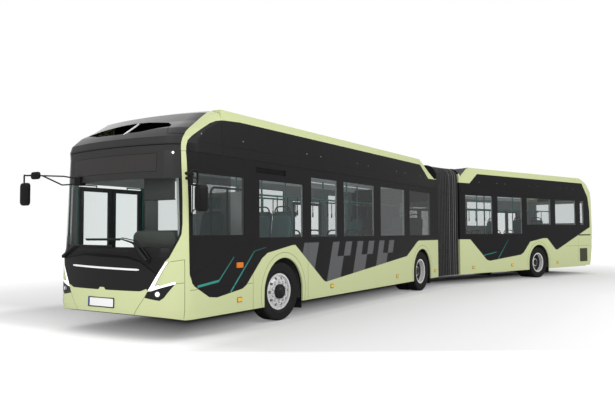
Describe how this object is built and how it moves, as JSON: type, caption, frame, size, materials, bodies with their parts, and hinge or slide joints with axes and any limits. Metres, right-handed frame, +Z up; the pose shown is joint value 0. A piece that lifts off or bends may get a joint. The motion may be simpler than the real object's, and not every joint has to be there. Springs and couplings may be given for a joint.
{
  "type": "articulated city bus",
  "caption": "Low-floor articulated city bus: two cars on a turntable with a folding bellows, steered front wheels, twin wheels behind and inward gliding double doors.",
  "frame": {"origin": "on the road under the middle of the front axle", "axes": "+X forward along the front car, +Y to the bus's left, +Z up; the rear car stands turned 19.45 degrees about the pivot, its tail towards +Y"},
  "size_m": [18.9562, 5.4793, 3.27],
  "materials": {
    "body_paint": "gloss",
    "dark_gloss": "gloss",
    "window_glass": "tinted",
    "roof_paint": "satin",
    "floor_covering": "speckled vinyl",
    "dash_plastic": "grained",
    "seat_cloth": "woven",
    "rail_paint": "satin",
    "lamp_clear": "clear",
    "lamp_red": "clear",
    "black_plastic": "moulded",
    "chassis_steel": "satin",
    "bellows_cloth": "coated",
    "polished_alloy": "polished",
    "wheel_alloy": "satin",
    "tyre_rubber": "matte",
    "door_frame": "gloss"
  },
  "bodies": {
    "front_car": {"front_walls": "body_paint", "nose": "body_paint", "dome": "dark_gloss", "windscreen": "window_glass", "front_glass": "window_glass", "front_roof": "roof_paint", "front_floor": "floor_covering", "front_covers": "body_paint", "dashboard": "dash_plastic", "front_seats": "seat_cloth", "front_rails": "rail_paint", "headlamps": "lamp_clear", "mirrors": "black_plastic", "wipers": "black_plastic", "front_axle": "chassis_steel", "mid_axle": "chassis_steel", "turntable": "chassis_steel", "bellows": "bellows_cloth"},
    "rear_car": {"rear_walls": "body_paint", "tail": "body_paint", "rear_glass": "window_glass", "rear_roof": "roof_paint", "rear_floor": "floor_covering", "rear_covers": "body_paint", "rear_seats": "seat_cloth", "rear_rails": "rail_paint", "tail_lamps": "lamp_red", "rear_axle": "chassis_steel", "coupling": "chassis_steel"},
    "steering_knuckle_left": {"knuckle_left": "chassis_steel"},
    "front_wheel_left": {"front_rim_left": "polished_alloy", "front_tyre_left": "tyre_rubber"},
    "mid_wheels_left": {"mid_rims_left": "wheel_alloy", "mid_tyres_left": "tyre_rubber"},
    "rear_wheels_left": {"rear_rims_left": "wheel_alloy", "rear_tyres_left": "tyre_rubber"},
    "steering_knuckle_right": {"knuckle_right": "chassis_steel"},
    "front_wheel_right": {"front_rim_right": "polished_alloy", "front_tyre_right": "tyre_rubber"},
    "mid_wheels_right": {"mid_rims_right": "wheel_alloy", "mid_tyres_right": "tyre_rubber"},
    "rear_wheels_right": {"rear_rims_right": "wheel_alloy", "rear_tyres_right": "tyre_rubber"},
    "door1_arm_fore": {"door1_post_fore": "rail_paint"},
    "door1_leaf_fore": {"door1_leaf_fore": "door_frame"},
    "door1_arm_aft": {"door1_post_aft": "rail_paint"},
    "door1_leaf_aft": {"door1_leaf_aft": "door_frame"},
    "door2_arm_fore": {"door2_post_fore": "rail_paint"},
    "door2_leaf_fore": {"door2_leaf_fore": "door_frame"},
    "door2_arm_aft": {"door2_post_aft": "rail_paint"},
    "door2_leaf_aft": {"door2_leaf_aft": "door_frame"},
    "door3_arm_fore": {"door3_post_fore": "rail_paint"},
    "door3_leaf_fore": {"door3_leaf_fore": "door_frame"},
    "door3_arm_aft": {"door3_post_aft": "rail_paint"},
    "door3_leaf_aft": {"door3_leaf_aft": "door_frame"},
    "door4_arm_fore": {"door4_post_fore": "rail_paint"},
    "door4_leaf_fore": {"door4_leaf_fore": "door_frame"},
    "door4_arm_aft": {"door4_post_aft": "rail_paint"},
    "door4_leaf_aft": {"door4_leaf_aft": "door_frame"}
  },
  "joints": [
    {"name": "articulation", "type": "hinge", "parent": "front_car", "child": "rear_car", "pos_m": [-7.953, 0, 0.25], "axis": [0, 0, 1], "range_deg": [-30.55, 69.45], "deforming": ["bellows"]},
    {"name": "steer_left", "type": "hinge", "parent": "front_car", "child": "steering_knuckle_left", "pos_m": [0, 0.93, 0.479], "axis": [0, 0, 1], "range_deg": [-36.7, 47.3]},
    {"name": "steer_right", "type": "hinge", "parent": "front_car", "child": "steering_knuckle_right", "pos_m": [0, -0.93, 0.479], "axis": [0, 0, 1], "range_deg": [-36.7, 47.3]},
    {"name": "roll_front_left", "type": "hinge", "parent": "steering_knuckle_left", "child": "front_wheel_left", "pos_m": [0.01496, 1.09131, 0.479], "axis": [0.0924, 0.9957, 0], "continuous": true},
    {"name": "roll_front_right", "type": "hinge", "parent": "steering_knuckle_right", "child": "front_wheel_right", "pos_m": [-0.01496, -1.09131, 0.479], "axis": [0.0924, 0.9957, 0], "continuous": true},
    {"name": "roll_mid_left", "type": "hinge", "parent": "front_car", "child": "mid_wheels_left", "pos_m": [-6.1, 0.937, 0.479], "axis": [0, 1, 0], "continuous": true},
    {"name": "roll_mid_right", "type": "hinge", "parent": "front_car", "child": "mid_wheels_right", "pos_m": [-6.1, -0.937, 0.479], "axis": [0, 1, 0], "continuous": true},
    {"name": "roll_rear_left", "type": "hinge", "parent": "rear_car", "child": "rear_wheels_left", "pos_m": [-12.14821, 2.47519, 0.479], "axis": [0.333, 0.9429, 0], "continuous": true},
    {"name": "roll_rear_right", "type": "hinge", "parent": "rear_car", "child": "rear_wheels_right", "pos_m": [-12.77222, 0.70814, 0.479], "axis": [0.333, 0.9429, 0], "continuous": true},
    {"name": "door1_fore_arm", "type": "hinge", "parent": "front_car", "child": "door1_arm_fore", "pos_m": [2.135, -1.24, 1.3], "axis": [0, 0, -1], "range_deg": [0, 90]},
    {"name": "door1_fore_leaf", "type": "hinge", "parent": "door1_arm_fore", "child": "door1_leaf_fore", "pos_m": [1.775, -1.24, 1.3], "axis": [0, 0, -1], "range_deg": [-180, 0]},
    {"name": "door1_aft_arm", "type": "hinge", "parent": "front_car", "child": "door1_arm_aft", "pos_m": [0.765, -1.24, 1.3], "axis": [0, 0, 1], "range_deg": [0, 90]},
    {"name": "door1_aft_leaf", "type": "hinge", "parent": "door1_arm_aft", "child": "door1_leaf_aft", "pos_m": [1.125, -1.24, 1.3], "axis": [0, 0, 1], "range_deg": [-180, 0]},
    {"name": "door2_fore_arm", "type": "hinge", "parent": "front_car", "child": "door2_arm_fore", "pos_m": [-4.015, -1.24, 1.3], "axis": [0, 0, -1], "range_deg": [0, 90]},
    {"name": "door2_fore_leaf", "type": "hinge", "parent": "door2_arm_fore", "child": "door2_leaf_fore", "pos_m": [-4.375, -1.24, 1.3], "axis": [0, 0, -1], "range_deg": [-180, 0]},
    {"name": "door2_aft_arm", "type": "hinge", "parent": "front_car", "child": "door2_arm_aft", "pos_m": [-5.385, -1.24, 1.3], "axis": [0, 0, 1], "range_deg": [0, 90]},
    {"name": "door2_aft_leaf", "type": "hinge", "parent": "door2_arm_aft", "child": "door2_leaf_aft", "pos_m": [-5.025, -1.24, 1.3], "axis": [0, 0, 1], "range_deg": [-180, 0]},
    {"name": "door3_fore_arm", "type": "hinge", "parent": "rear_car", "child": "door3_arm_fore", "pos_m": [-9.60586, -0.73136, 1.3], "axis": [0, 0, -1], "range_deg": [0, 90]},
    {"name": "door3_fore_leaf", "type": "hinge", "parent": "door3_arm_fore", "child": "door3_leaf_fore", "pos_m": [-9.94531, -0.61149, 1.3], "axis": [0, 0, -1], "range_deg": [-180, 0]},
    {"name": "door3_aft_arm", "type": "hinge", "parent": "rear_car", "child": "door3_arm_aft", "pos_m": [-10.89767, -0.27517, 1.3], "axis": [0, 0, 1], "range_deg": [0, 90]},
    {"name": "door3_aft_leaf", "type": "hinge", "parent": "door3_arm_aft", "child": "door3_leaf_aft", "pos_m": [-10.55822, -0.39505, 1.3], "axis": [0, 0, 1], "range_deg": [-180, 0]},
    {"name": "door4_fore_arm", "type": "hinge", "parent": "rear_car", "child": "door4_arm_fore", "pos_m": [-14.08479, 0.85031, 1.3], "axis": [0, 0, -1], "range_deg": [0, 90]},
    {"name": "door4_fore_leaf", "type": "hinge", "parent": "door4_arm_fore", "child": "door4_leaf_fore", "pos_m": [-14.42424, 0.97019, 1.3], "axis": [0, 0, -1], "range_deg": [-180, 0]},
    {"name": "door4_aft_arm", "type": "hinge", "parent": "rear_car", "child": "door4_arm_aft", "pos_m": [-15.3766, 1.3065, 1.3], "axis": [0, 0, 1], "range_deg": [0, 90]},
    {"name": "door4_aft_leaf", "type": "hinge", "parent": "door4_arm_aft", "child": "door4_leaf_aft", "pos_m": [-15.03715, 1.18663, 1.3], "axis": [0, 0, 1], "range_deg": [-180, 0]}
  ],
  "couplings": [
    {"joint": "steer_right", "follows": "steer_left", "ratio": 1},
    {"joint": "door1_fore_leaf", "follows": "door1_fore_arm", "ratio": -2},
    {"joint": "door1_aft_arm", "follows": "door1_fore_arm", "ratio": 1},
    {"joint": "door1_aft_leaf", "follows": "door1_fore_arm", "ratio": -2},
    {"joint": "door2_fore_leaf", "follows": "door2_fore_arm", "ratio": -2},
    {"joint": "door2_aft_arm", "follows": "door2_fore_arm", "ratio": 1},
    {"joint": "door2_aft_leaf", "follows": "door2_fore_arm", "ratio": -2},
    {"joint": "door3_fore_leaf", "follows": "door3_fore_arm", "ratio": -2},
    {"joint": "door3_aft_arm", "follows": "door3_fore_arm", "ratio": 1},
    {"joint": "door3_aft_leaf", "follows": "door3_fore_arm", "ratio": -2},
    {"joint": "door4_fore_leaf", "follows": "door4_fore_arm", "ratio": -2},
    {"joint": "door4_aft_arm", "follows": "door4_fore_arm", "ratio": 1},
    {"joint": "door4_aft_leaf", "follows": "door4_fore_arm", "ratio": -2}
  ]
}
